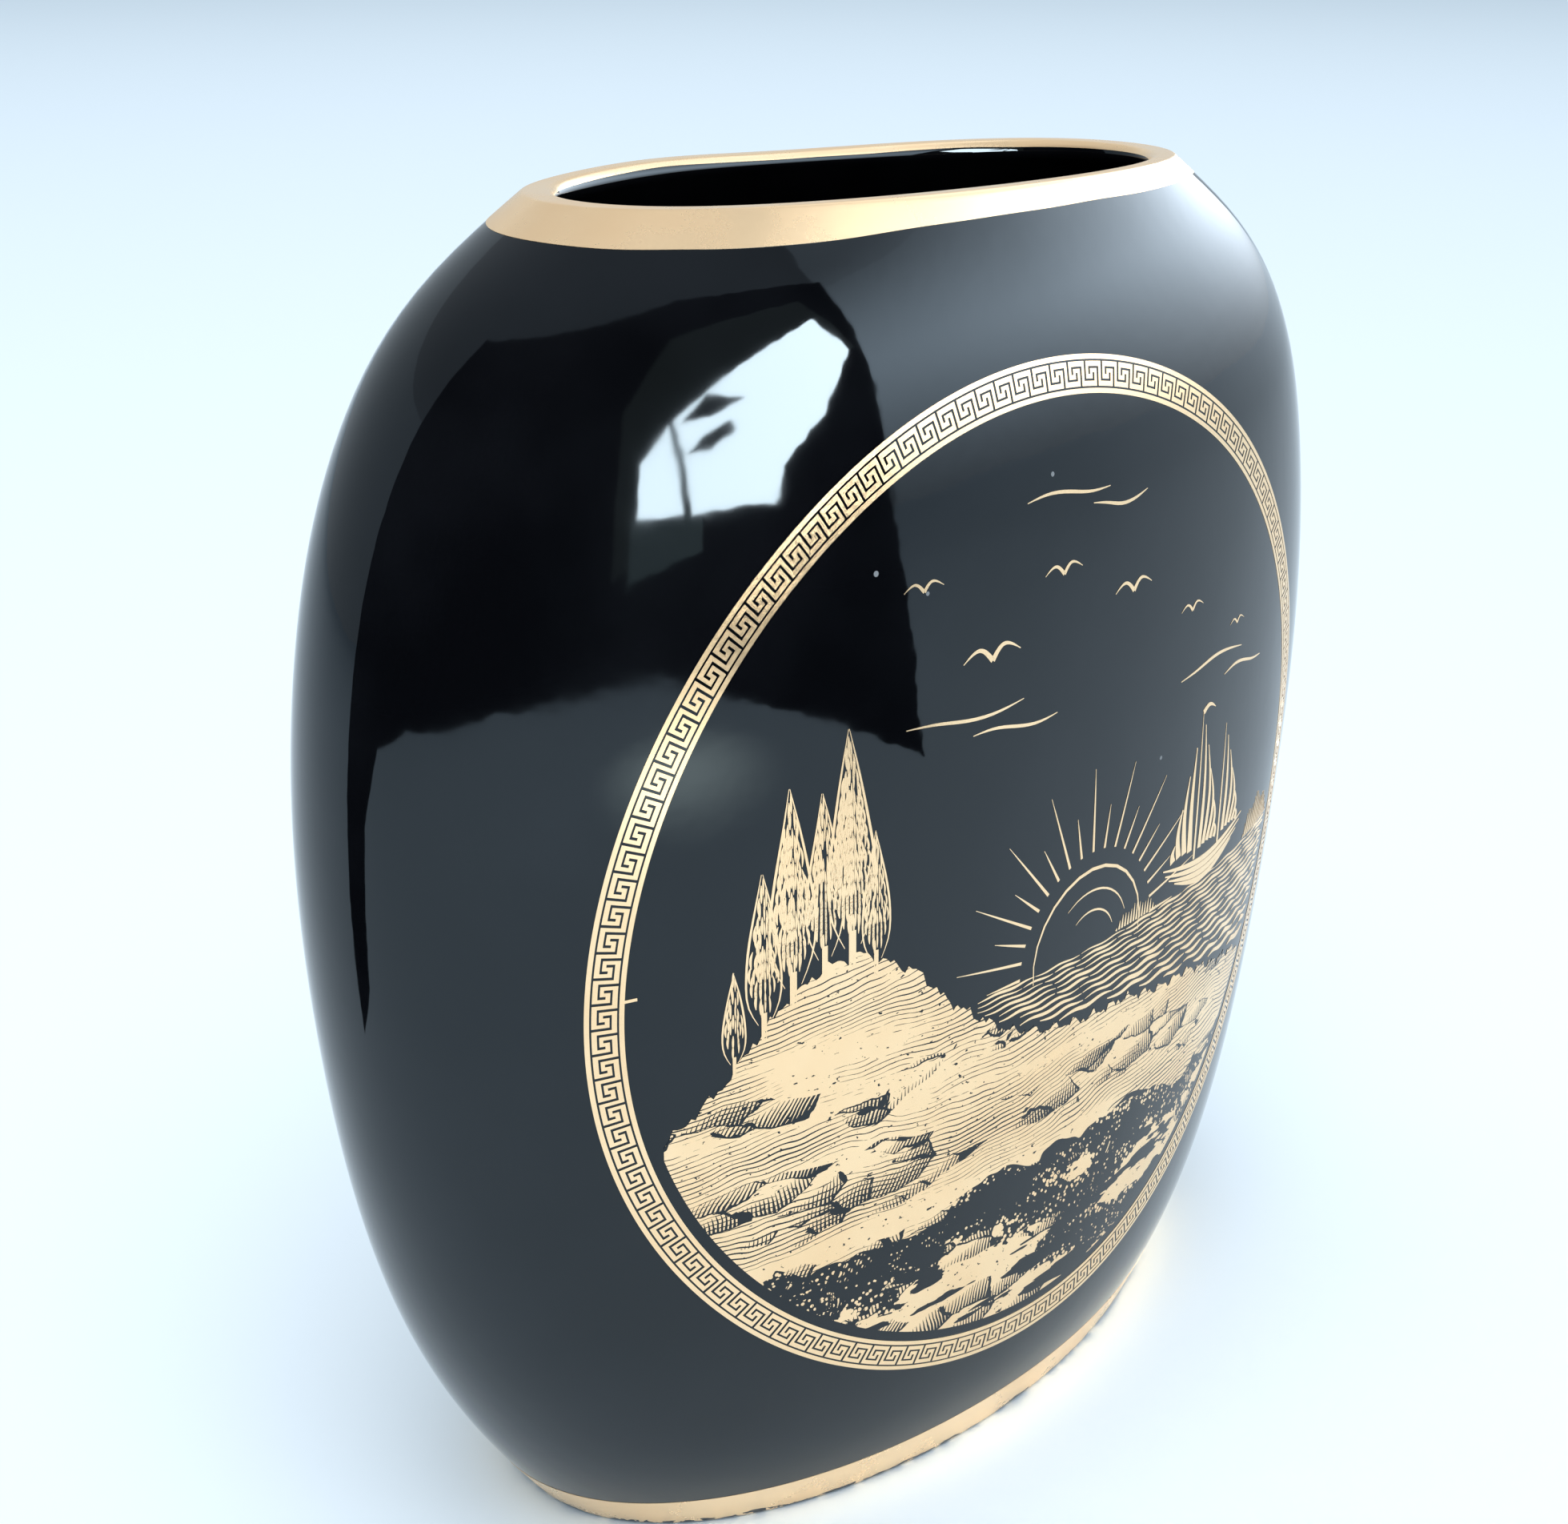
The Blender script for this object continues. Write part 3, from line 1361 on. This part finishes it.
@dataclass
class Picture:
    """The picture in the medallion, in millimetres: a rocky shore, trees, a boat and the sun."""

    face: Face
    radius: float = 72.0
    horizon: float = -12.0
    ground_margin: float = 0.4
    ground_ends: tuple[float, float] = (-68.3, 62.3)
    ground_cells: tuple[int, int] = (200, 36)
    sea_start: float = -30.0
    sea_end_level: float = -40.0
    cells: int = 14
    smooth_angle: float = 35.0
    seed: int = 5
    shore: tuple = (
        (-72, -22), (-66, -17), (-60, -12), (-55, -6), (-50, -1), (-44, 2.5), (-38, 3), (-33, 0),
        (-28, -3), (-23, -9), (-17, -14), (-10, -19), (-2, -22), (8, -24), (18, -24.5), (28, -27),
        (38, -28), (48, -31), (58, -33), (66, -36), (72, -38),
    )
    shore_waves: tuple = ((0.55, 1.31, 1.0), (0.4, 2.7, 0.0), (0.3, 4.9, 2.0))
    trees: tuple = ((-58, 15), (-53.5, 24), (-49, 31), (-44, 26), (-39.5, 34), (-35.5, 21))
    gulls: tuple = ((-14, 40, 11), (1, 49, 8), (17, 43, 9), (33, 36, 6.5), (-26, 52, 7), (48, 30, 5))
    clouds: tuple = (
        (-30, 33, 22), (-18, 29.5, 17), (30, 26, 20), (44, 22.5, 14), (-6, 60, 18), (8, 57, 13),
    )
    edge_tick: tuple = ((-73.5, 4.5), (-71.5, 4.6))

    def shore_height(self, across: Array) -> Array:
        """The shore's upper edge.

        Args:
            across: Places along X.

        Returns:
            Heights over the medallion's middle.
        """
        corners = np.array(self.shore, dtype=float)
        rough = sum(height * np.sin(across * pace + start) for height, pace, start in self.shore_waves)
        return np.interp(across, corners[:, 0], corners[:, 1]) + rough

    def ground(self) -> Piece:
        """The dense gold ground under the shore's edge.

        Returns:
            The new object.
        """
        Bench.clear()
        columns, rows = self.ground_cells
        bpy.ops.mesh.primitive_grid_add(x_subdivisions=columns, y_subdivisions=rows, size=2.0)
        piece = Bench.started("shore_ground")
        rows = Bench.points(piece)
        across = np.interp(rows[:, 0], (-1, 1), self.ground_ends)
        low = -np.sqrt((self.radius - self.ground_margin) ** 2 - across**2)
        high = np.maximum(self.shore_height(across), low + 0.1)
        up = low + (high - low) * (rows[:, 1] + 1) / 2
        Bench.move_points(piece, self.face.lay(np.stack([across, up], axis=-1) * MM))
        return piece

    def sun(self, x: float, y: float, size: float) -> list[Stroke]:
        """A rising sun with rays.

        Args:
            x: Its middle along X.
            y: Its middle's height.
            size: Its radius.

        Returns:
            Its strokes.
        """
        middle = (x, y)
        circle = polar(size, np.linspace(-0.15, math.pi + 0.15, 13)) + middle
        strokes = [Stroke(circle, 0.55)]
        for share in (0.72, 0.46):
            strokes.append(Stroke(polar(size * share, np.linspace(0.35, 2.2, 8)) + middle, 0.34))
        for number in range(19):
            reach = np.array((1.22, 2.25 if number % 2 else 1.75)) * size
            strokes.append(Stroke(polar(reach, math.radians(number * 10)) + middle, 0.5, Taper.END))
        return strokes

    def gull(self, x: float, y: float, span: float) -> list[Stroke]:
        """A flying gull as two curved strokes, by its middle, height and span."""
        wing = np.array(((0, 0), (0.2, 0.17), (0.5, 0.05))) * span
        return [Stroke(wing * (side, 1) + (x, y), span * 0.075, Taper.END) for side in (-1, 1)]

    def cypress(self, x: float, y: float, height: float, draw: random.Random) -> list[Stroke]:
        """A slender tree of many upward strokes.

        Args:
            x: Its foot along X.
            y: Its foot's height.
            height: How tall it is.
            draw: The source of its small differences.

        Returns:
            Its strokes.
        """
        strokes = [Stroke(((x, y - 1), (x, y + height * 0.14)), height * 0.035, Taper.NONE)]
        girth = height * 0.115
        pen = 0.16 + height * 0.006
        outline = ((0.07, 0.35), (0.2, 0.85), (0.36, 1.0), (0.58, 0.78), (0.8, 0.4), (1.0, 0.02))
        for side in (-1, 1):
            flank = tuple(
                (x + side * girth * full + draw.uniform(-0.1, 0.1), y + height * share)
                for share, full in outline
            )
            strokes.append(Stroke(flank, pen * 1.2))
        rows = int(height / 1.15)
        for row in range(rows):
            share = (row + 0.5) / rows
            room = girth * (min(share / 0.30, 1.0) ** 0.6) * (1 - max(share - 0.30, 0) / 0.70) ** 0.75
            count = max(1, int(room * 2 / 0.72))
            for number in range(count):
                across = room * (2 * (number + 0.5 * (row % 2) + 0.25) / count - 1) * 0.86
                if abs(across) > room or draw.random() < 0.16:
                    continue
                foot = y + height * (0.08 + 0.82 * share) + draw.uniform(-0.3, 0.3)
                rise = 1.5 + height * 0.045
                bent = ((1.0, 0.0), (1.06, 0.5), (0.88, 1.0))
                path = tuple((x + across * out, foot + rise * up) for out, up in bent)
                strokes.append(Stroke(path, pen * (1.35 if across < 0 else 0.95)))
        return strokes

    def sail(
        self, foot: tuple[float, float], width: float, height: float, belly: float, panels: int
    ) -> list[Stroke]:
        """A sail of cloths with dark seams between them.

        Args:
            foot: Its lower corner at the mast.
            width: Its width, below 0 for one that lies to the left.
            height: Its height.
            belly: How far it swells.
            panels: How many cloths it has.

        Returns:
            Its strokes, one for each cloth.
        """
        strokes = []
        cloth = width / panels
        for number in range(panels):
            share = (number + 0.5) / panels
            x = foot[0] + width * share
            top = foot[1] + height * (1 - share**1.25)
            low = foot[1] + 0.5 * math.sin(math.pi * share)
            swell = belly * math.sin(math.pi * share)
            path = ((x, low), (x + swell, (low + top) / 2), (x - cloth * 0.25, top))
            strokes.append(Stroke(path, abs(cloth) * 0.86, Taper.END))
        return strokes

    def boat(self, x: float, y: float, size: float) -> list[Stroke]:
        """A small sailing boat with two masts.

        Args:
            x: Its middle along X.
            y: The height of its waterline.
            size: Half its length.

        Returns:
            Its strokes.
        """
        def at(across: float, up: float) -> tuple[float, float]:
            """A point at shares of the boat's size from its waterline's middle."""
            return x + size * across, y + size * up

        strokes = []
        for number, share in enumerate((1.0, 0.95, 0.86, 0.72)):
            level = 0.30 - number * 0.085
            hull = (at(-share, level + 0.12), at(0, level - 0.05), at(share * 1.05, level + 0.16))
            strokes.append(Stroke(hull, size * 0.075))
        for mast, tall in ((-0.28, 1.9), (0.34, 1.55)):
            pole = (at(mast, 0.32), at(mast + 0.02, 0.32 + tall))
            strokes.append(Stroke(pole, size * 0.045, Taper.END))
            foot = at(mast + 0.07, 0.42)
            strokes += self.sail(foot, size * 0.48, size * (tall - 0.2), size * 0.10, 5)
        strokes += self.sail(at(-0.34, 0.45), -size * 0.52, size * 1.45, -size * 0.05, 4)
        flag = (at(-0.26, 2.2), at(-0.12, 2.26), at(0.03, 2.19))
        strokes.append(Stroke(flag, size * 0.07, Taper.END))
        return strokes

    def sea(self, draw: random.Random) -> list[Stroke]:
        """Broken wave lines between the horizon and the shore.

        Args:
            draw: The source of their breaks.

        Returns:
            Their strokes.
        """
        strokes = []
        level, gap = self.horizon, 0.85
        while level > self.sea_end_level:
            reach = math.sqrt((self.radius - 1.2) ** 2 - level**2)
            x = max(-reach, self.sea_start)
            while x < reach - 2:
                end = min(x + draw.uniform(6, 15), reach)
                places = np.linspace(x, end, 7)
                if (self.shore_height(places) < level - gap * 0.55).all():
                    sway = gap * 0.16
                    path = tuple((p, level + sway * math.sin(p * 0.9 + level)) for p in places)
                    strokes.append(Stroke(path, gap * draw.uniform(0.34, 0.60)))
                    x = end + draw.uniform(0.15, 0.6)
                else:
                    x += 1.5
            level -= gap
            gap *= 1.055
        return strokes

    def island(self, left: float, right: float, height: float) -> list[Stroke]:
        """A distant island, hatched down its slopes.

        Args:
            left: Its left end along X.
            right: Its right end.
            height: How high it is.

        Returns:
            Its strokes.
        """
        strokes = []
        count = int((right - left) / 0.75)
        for number in range(count):
            share = (number + 0.5) / count
            x = left + (right - left) * share
            hills = 0.25 * math.sin(3.1 * math.pi * share) ** 2
            top = height * (0.75 * math.sin(math.pi * share) ** 0.8 + hills)
            path = ((x, self.horizon + 0.6), (x + 0.2, self.horizon + 0.5 + max(top, 0.5)))
            strokes.append(Stroke(path, 0.5, Taper.END))
        return strokes

    def drawing(self) -> list[Stroke]:
        """All strokes of the picture above the ground.

        Returns:
            The strokes.
        """
        draw = random.Random(self.seed)
        strokes = self.sun(8, self.horizon + 0.6, 13)
        strokes += self.boat(41, self.horizon + 0.4, 13.5)
        strokes += self.island(14.5, 26, 3.4) + self.island(57, 70.5, 6.5)
        strokes += self.sea(draw)
        for x, height in self.trees:
            strokes += self.cypress(x, float(self.shore_height(np.array(x))) - 0.5, height, draw)
        strokes.append(Stroke(self.edge_tick, 0.45, Taper.NONE))
        for x, y, span in self.gulls:
            strokes += self.gull(x, y, span)
        for x, y, length in self.clouds:
            path = tuple((x + length * s, y + 0.7 * math.sin(s * 5 + x)) for s in (0, 0.25, 0.5, 0.75, 1))
            strokes.append(Stroke(path, 0.5))
        return strokes

    def lines(self) -> Piece:
        """Every stroke as a thin strip, joined to one piece.

        Returns:
            The new object.
        """
        Bench.clear()
        bpy.ops.mesh.primitive_grid_add(x_subdivisions=self.cells, y_subdivisions=1, size=2.0)
        strip = Bench.started("picture_lines")
        places = Bench.points(strip)
        along = np.rint((places[:, 0] + 1) / 2 * self.cells).astype(int)
        side = (places[:, 1] > 0).astype(int)
        strips = []
        for number, stroke in enumerate(self.drawing()):
            piece = strip
            if number:
                piece = bpy.data.objects.new("picture_stroke", strip.data.copy())
                bpy.context.scene.collection.objects.link(piece)
            Bench.move_points(piece, self.face.lay(stroke.sides(self.cells)[along, side] * MM))
            strips.append(piece)
        Bench.pick(strip)
        for piece in strips:
            piece.select_set(True)
        bpy.ops.object.join()
        LOG.info("picture: %d strokes", len(strips))
        return strip

    def build(self, lines_finish: GoldLustre, ground_finish: EngravedGold) -> list[Piece]:
        """Models and dresses the picture.

        Args:
            lines_finish: The gold of its strokes.
            ground_finish: The engraved gold of its ground.

        Returns:
            Its two pieces.
        """
        ground, lines = self.ground(), self.lines()
        for piece in (ground, lines):
            Bench.film(piece, to_front, self.smooth_angle)
        dressed(ground, ground_finish.material(), "gold_lustre", "medallion_picture")
        dressed(lines, lines_finish.material(), "gold_lustre")
        return [ground, lines]


@dataclass
class Studio:
    """The pale floor, the soft lights, the cards that the glaze mirrors and the camera."""

    floor_colour: tuple = (0.84, 0.93, 1.0, 1.0)
    floor_size: float = 14.0
    floor_height: float = -0.1 * MM
    sky_colour: tuple = (0.78, 0.90, 1.0, 1.0)
    sky_strength: float = 0.66
    lamp_colour: tuple = (1.0, 0.99, 0.98)
    lamp_strength: float = 0.80
    near_lamp_strength: float = 2.4
    window_strength: float = 30.0
    side_strength: float = 7.8
    glow_strength: float = 4.0
    glow_reach: float = 0.15
    glow_place: tuple = (-0.04, -0.50, 1.5 * MM)
    ceiling_strength: float = 0.45
    screen_cells: int = 48
    heart: tuple = (-20 * MM, -30 * MM, 130 * MM)
    camera_place: tuple = (-212.5 * MM, -213.1 * MM, 240.2 * MM)
    camera_forward: tuple = (0.6183, 0.6744, -0.4036)
    camera_right: tuple = (0.7391, -0.6735, 0.0068)
    lens: float = 46.97

    def plain(self, name: str, colour: tuple, rough: float) -> Material:
        """A plain material for what isn't part of the vase."""
        graph, inputs = Graph(name), {"Base Color": colour, "Roughness": rough, "Specular IOR Level": 0.0}
        return graph.finish(graph.shader(inputs))

    def shining(self, name: str, colour: tuple, strength: float) -> Material:
        """A card's material that shines evenly."""
        graph = Graph(name)
        return graph.finish(graph.light(colour, strength))

    def fading(self, name: str, colour: tuple, strength: float, clearness: Callable) -> Material:
        """A card's material that shines in part and is clear in part.

        Args:
            name: Its name.
            colour: Its colour.
            strength: How bright it is.
            clearness: Gives 0 where it shines and 1 where it is clear.

        Returns:
            The material.
        """
        graph = Graph(name)
        clear = graph.node("ShaderNodeBsdfTransparent", {}).outputs[0]
        return graph.mixed(clearness(graph), graph.light(colour, strength), clear)

    def floor(self) -> None:
        """The plain floor that the vase stands on."""
        Bench.clear()
        bpy.ops.mesh.primitive_plane_add(size=self.floor_size, location=(0.0, 0.0, self.floor_height))
        piece = Bench.started("pale_floor")
        piece.data.materials.append(self.plain("pale_floor", self.floor_colour, 0.7))

    @staticmethod
    def mirrored_only(piece: Piece, material: Material) -> None:
        """Shows a card in reflections alone.

        Args:
            piece: The card.
            material: Its material.
        """
        piece.data.materials.append(material)
        piece.visible_camera = False
        piece.visible_diffuse = False
        piece.visible_shadow = False

    def places(self, turn: Array, rise: Array, far: Array | float) -> Array:
        """Points so far off from the vase's heart, by direction round and rise in radians."""
        return np.column_stack([polar(np.cos(rise) * far, turn), np.sin(rise) * far]) + self.heart

    def card(self, name: str, corners: Sequence, distance: float, material: Material) -> None:
        """A card whose corners lie in given directions from the vase's heart.

        Args:
            name: Its name.
            corners: Direction round and rise of each corner, in degrees.
            distance: How far off it stands, or 0 for a card that lies on the floor.
            material: Its material.
        """
        Bench.clear()
        bpy.ops.mesh.primitive_circle_add(vertices=len(corners), radius=1.0, fill_type="NGON")
        piece = Bench.started(name)
        turn, rise = np.radians(np.array(corners, dtype=float)).T
        far = distance or (self.heart[2] - MM) / -np.sin(rise)
        Bench.move_points(piece, self.places(turn, rise, far))
        self.mirrored_only(piece, material)

    def screen(
        self, name: str, turns: tuple[float, float], rises: Sequence, radius: float, material: Material
    ) -> None:
        """A curved card that stands round the vase.

        Args:
            name: Its name.
            turns: Where it starts and ends, in degrees.
            rises: Lower and upper rise at even steps along it, in degrees.
            radius: How far off it stands.
            material: Its material.
        """
        Bench.clear()
        bpy.ops.mesh.primitive_grid_add(x_subdivisions=self.screen_cells, y_subdivisions=1, size=2.0)
        piece = Bench.started(name)
        rows = Bench.points(piece)
        share = (rows[:, 0] + 1) / 2
        turn = np.radians(turns[0] + (turns[1] - turns[0]) * share)
        low, high = (np.interp(share, np.linspace(0, 1, len(rises)), ends) for ends in zip(*rises))
        rise = np.radians(np.where(rows[:, 1] < 0, low, high))
        Bench.move_points(piece, self.places(turn, rise, radius / np.cos(rise)))
        self.mirrored_only(piece, material)

    def surroundings(self) -> None:
        """The dark room in front, its window, the bright side and the dim ceiling."""
        dark = self.plain("dark_room", (0.006, 0.007, 0.008, 1.0), 0.9)
        rises = ((-5.5, 58), (-5.5, 62), (-5.5, 63), (-5.5, 61), (-5.5, 56), (-5.5, 50), (-5.5, 36))
        self.screen("dark_room", (157.0, 301.0), rises, 1.30, dark)
        pane = self.shining("window_pane", (0.90, 0.97, 1.0, 1.0), self.window_strength)
        dim = self.shining("dim_window", (0.45, 0.58, 0.58, 1.0), 1.1)
        wall = self.shining("dim_wall", (0.55, 0.66, 0.60, 1.0), 0.30)
        front = (
            (-130, -4.2), (-131, -7), (-112, -8), (-92, -8.5),
            (-80, -11), (-70, -13), (-58, -17), (-59, -4.2),
        )
        left = (
            (157, -4.2), (156, -30), (163, -27), (168, -15),
            (176, -9), (192, -7), (229, -7), (231, -4.2),
        )
        whole = ((-85.6, 6.5), (-73, 5), (-72, 9), (-66.3, 13), (-61, 22), (-63.5, 30.5), (-88.2, 21.5))
        for name, distance, material, corners in (
            ("dark_front", 0.0, dark, front),
            ("dark_left", 0.0, dark, left),
            ("pane_left", 1.12, pane, ((-96, 8.5), (-87.2, 7), (-89.2, 21), (-95, 16))),
            ("pane_right", 1.12, pane, whole),
            ("upper_leaf", 1.08, dark, ((-87, 20.5), (-82, 19.6), (-76, 20.6), (-79, 22.2), (-82, 24))),
            ("lower_leaf", 1.08, dark, ((-86.5, 15), (-82, 14.4), (-78, 16), (-78.5, 17.6), (-83, 17))),
            ("window_below", 1.16, dim, ((-98, 1), (-84, 2), (-84, 7), (-97, 9))),
            ("dim_wall", 1.22, wall, ((-101, 2), (-72, 8), (-60, 22), (-64, 35), (-88, 40), (-99, 27))),
        ):
            self.card(name, corners, distance, material)
        side = self.fading("bright_side", (0.78, 0.89, 1.0, 1.0), self.side_strength, self.side_clearness)
        self.screen("bright_side", (-60.0, 24.0), ((-5, 48), (-5, 54), (-5, 60)), 1.30, side)
        ceiling = self.shining("dim_ceiling", (0.80, 0.90, 1.0, 1.0), self.ceiling_strength)
        self.screen("dim_ceiling", (20.0, 380.0), ((34, 89.5), (34, 89.5)), 1.7, ceiling)

    @staticmethod
    def side_clearness(graph: Graph) -> Signal:
        """The bright side fades out downwards, at its top and towards the window.

        Args:
            graph: The card's graph.

        Returns:
            1 where it is clear.
        """
        up = graph.axis("Z").step(0.02, 0.60)
        top = graph.axis("Z").step(0.45, 1.20)
        along = graph.axis("Y").step(-1.35, 0.1)
        return 1 - up * (1 - top * 0.85) * (along * 0.5 + 0.5)

    def patch_clearness(self, graph: Graph) -> Signal:
        """The lit patch fades out from its middle."""
        squares = graph.axis("X").math("POWER", 2.0) + graph.axis("Y").math("POWER", 2.0)
        return squares.math("SQRT").step(0.0, self.glow_reach)

    def glow(self) -> None:
        """A lit patch of the floor in front, mirrored beside the medallion's edge."""
        Bench.clear()
        bpy.ops.mesh.primitive_plane_add(size=0.5)
        piece = Bench.started("lit_patch")
        material = self.fading("lit_patch", (0.86, 0.95, 0.93, 1.0), self.glow_strength, self.patch_clearness)
        self.mirrored_only(piece, material)
        piece.location = self.glow_place

    def lamp(self, name: str, place: tuple, size: float, strength: float) -> None:
        """One broad soft lamp that the glaze doesn't mirror.

        Args:
            name: Its name.
            place: Where it hangs, facing down.
            size: The length of its sides.
            strength: How bright its surface is.
        """
        data = bpy.data.lights.new(name, "AREA")
        data.shape = "RECTANGLE"
        data.size = data.size_y = size
        data.energy = strength * math.pi * size * size
        data.color = self.lamp_colour
        lamp = bpy.data.objects.new(name, data)
        bpy.context.scene.collection.objects.link(lamp)
        lamp.location = place
        lamp.visible_glossy = False

    def camera(self) -> None:
        """The camera at the photograph's place and angle."""
        forward = Vector(self.camera_forward).normalized()
        right = Vector(self.camera_right)
        right = (right - forward * right.dot(forward)).normalized()
        up = right.cross(forward)
        data = bpy.data.cameras.new("camera")
        data.lens = self.lens
        data.sensor_width = 36.0
        data.sensor_fit = "HORIZONTAL"
        data.clip_start = 0.01
        camera = bpy.data.objects.new("camera", data)
        bpy.context.scene.collection.objects.link(camera)
        turned = Matrix((right, up, -forward)).transposed()
        camera.matrix_world = Matrix.Translation(self.camera_place) @ turned.to_4x4()
        bpy.context.scene.camera = camera

    def build(self) -> None:
        """Sets the whole studio up."""
        self.floor()
        self.surroundings()
        self.glow()
        self.lamp("overhead", (0.3, 0.3, 2.8), 5.0, self.lamp_strength)
        self.lamp("near_lamp", (-0.35, -0.55, 1.2), 1.0, self.near_lamp_strength)
        self.camera()
        world = bpy.data.worlds.new("studio")
        world.use_nodes = True
        background = world.node_tree.nodes["Background"]
        background.inputs["Color"].default_value = self.sky_colour
        background.inputs["Strength"].default_value = self.sky_strength
        bpy.context.scene.world = world
        bpy.context.scene.view_settings.view_transform = "Standard"


def main() -> None:
    """Builds the vase piece by piece and then the studio."""
    logging.basicConfig(level=logging.INFO, format="%(name)s %(message)s")
    face = Face(Oval())
    glaze = BlackGlaze()
    rim_gold = GoldLustre("rim_gold", glaze, wear=0.35, metal=0.6, polished=0.22, dulled=0.36)
    print_gold = GoldLustre("print_gold", glaze, wear=0.12, polished=0.19, dulled=0.25)
    body = VaseBody(face.oval)
    body.build(glaze)
    gilding = EdgeGilding(body)
    gilding.build_rim(rim_gold)
    gilding.build_foot(replace(rim_gold, name="foot_gold", low_edge=0.9 * MM))
    KeyBorder(face).build(print_gold)
    line_gold = replace(print_gold, name="line_gold", wear=0.15)
    Picture(face).build(line_gold, EngravedGold("engraved_gold", glaze, wear=0.12))
    Studio().build()


if __name__ == "__main__":
    main()
